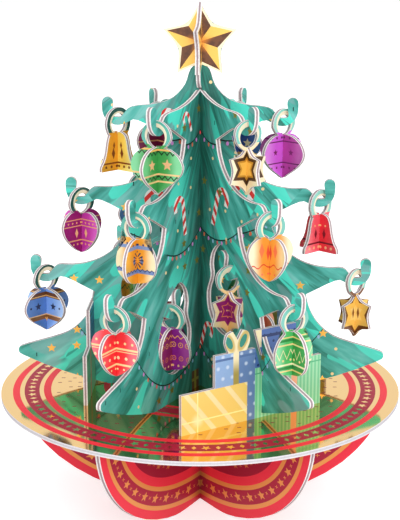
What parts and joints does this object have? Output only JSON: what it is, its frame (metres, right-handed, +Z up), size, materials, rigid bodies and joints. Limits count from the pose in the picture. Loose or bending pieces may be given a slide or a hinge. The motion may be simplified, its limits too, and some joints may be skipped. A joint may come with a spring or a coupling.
{
  "type": "pop-up advent calendar",
  "caption": "Pop-up card tree of folded sector boards round one spine, with a foil disc, lobed foot, crossed star, gift cards and card ornaments hung on hooks.",
  "frame": {"origin": "bottom centre, on the spine's line at the level that the lobes of the foot stand on", "axes": "+Z up along the spine, -Y towards the front sector, +X to the right wing"},
  "size_m": [0.24, 0.24, 0.3029],
  "materials": {
    "tree_card": "printed card, satin",
    "foil_card": "card faced with mirror-like gold foil",
    "star_card": "printed card, satin",
    "gift_card": "printed card, satin",
    "bauble_card": "printed card, satin",
    "bell_card": "printed card, satin",
    "egg_card": "printed card, satin",
    "heart_card": "printed card, satin",
    "star_ornament_card": "printed card, satin"
  },
  "bodies": {
    "root": {"bauble_back_left_2_cross_plate": "bauble_card", "bauble_back_left_2_ring_plate": "bauble_card", "bauble_back_right_1_cross_plate": "bauble_card", "bauble_back_right_1_ring_plate": "bauble_card", "bauble_front_left_1_cross_plate": "bauble_card", "bauble_front_left_1_ring_plate": "bauble_card", "bauble_left_3_cross_plate": "bauble_card", "bauble_left_3_ring_plate": "bauble_card", "bauble_right_1_cross_plate": "bauble_card", "bauble_right_1_ring_plate": "bauble_card", "bell_left_1_cross_plate": "bell_card", "bell_left_1_ring_plate": "bell_card", "bell_right_2_cross_plate": "bell_card", "bell_right_2_ring_plate": "bell_card", "egg_back_left_3_cross_plate": "egg_card", "egg_back_left_3_ring_plate": "egg_card", "egg_back_right_2_cross_plate": "egg_card", "egg_back_right_2_ring_plate": "egg_card", "egg_front_left_2_cross_plate": "egg_card", "egg_front_left_2_ring_plate": "egg_card", "egg_front_left_4_cross_plate": "egg_card", "egg_front_left_4_ring_plate": "egg_card", "egg_front_right_3_cross_plate": "egg_card", "egg_front_right_3_ring_plate": "egg_card", "egg_left_4_cross_plate": "egg_card", "egg_left_4_ring_plate": "egg_card", "foil_disc": "foil_card", "gift_card_back_right": "gift_card", "gift_card_front_right": "gift_card", "gift_card_left": "gift_card", "heart_back_left_1_cross_plate": "heart_card", "heart_back_left_1_ring_plate": "heart_card", "heart_back_right_3_cross_plate": "heart_card", "heart_back_right_3_ring_plate": "heart_card", "heart_front_left_3_cross_plate": "heart_card", "heart_front_left_3_ring_plate": "heart_card", "heart_front_right_2_cross_plate": "heart_card", "heart_front_right_2_ring_plate": "heart_card", "heart_left_2_cross_plate": "heart_card", "heart_left_2_ring_plate": "heart_card", "heart_right_4_cross_plate": "heart_card", "heart_right_4_ring_plate": "heart_card", "star_back_left_4_cross_plate": "star_ornament_card", "star_back_left_4_ring_plate": "star_ornament_card", "star_back_right_4_cross_plate": "star_ornament_card", "star_back_right_4_ring_plate": "star_ornament_card", "star_deep_plate": "star_card", "star_front_right_1_cross_plate": "star_ornament_card", "star_front_right_1_ring_plate": "star_ornament_card", "star_front_right_4_cross_plate": "star_ornament_card", "star_front_right_4_ring_plate": "star_ornament_card", "star_right_3_cross_plate": "star_ornament_card", "star_right_3_ring_plate": "star_ornament_card", "star_wide_plate": "star_card", "tree_board_front": "tree_card", "tree_board_left_front": "tree_card", "tree_board_left_rear": "tree_card", "tree_board_rear": "tree_card", "tree_board_right_front": "tree_card", "tree_board_right_rear": "tree_card"}
  },
  "joints": []
}
